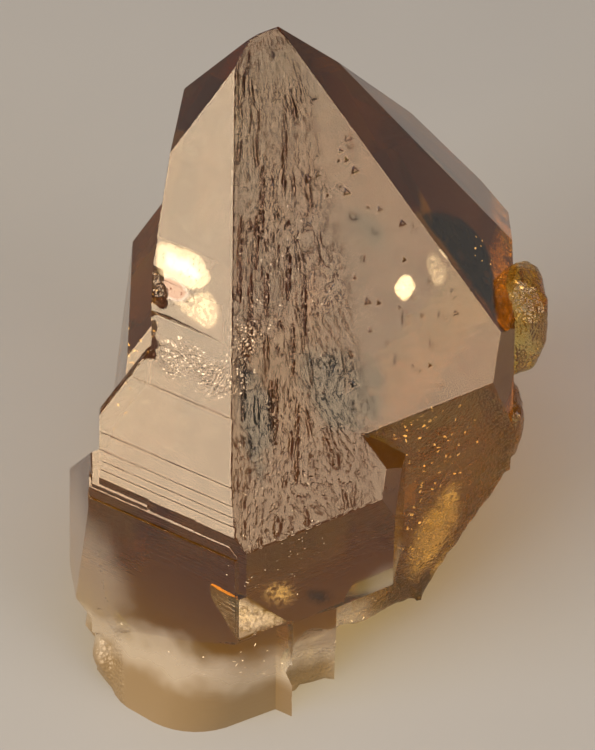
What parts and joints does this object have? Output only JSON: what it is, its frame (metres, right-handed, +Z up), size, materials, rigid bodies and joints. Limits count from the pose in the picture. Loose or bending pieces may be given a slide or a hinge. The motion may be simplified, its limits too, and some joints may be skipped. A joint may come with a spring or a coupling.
{
  "type": "citrine crystal",
  "caption": "Smoky yellow citrine crystal of parallel-grown individuals with flat pointed faces, growth steps and etched marks, standing on a flat-cut milky foot.",
  "frame": {"origin": "middle of the bounding box, on the flat foot that the crystal stands on", "axes": "+Z up along the crystal's long axis, -Y towards the two bright front faces, +X to the right seen from the front"},
  "size_m": [0.0398, 0.046, 0.0531],
  "materials": {
    "citrine": "clear smoky yellow quartz with flat bright faces and a milky foot"
  },
  "bodies": {
    "root": {"crystal": "citrine"}
  },
  "joints": []
}
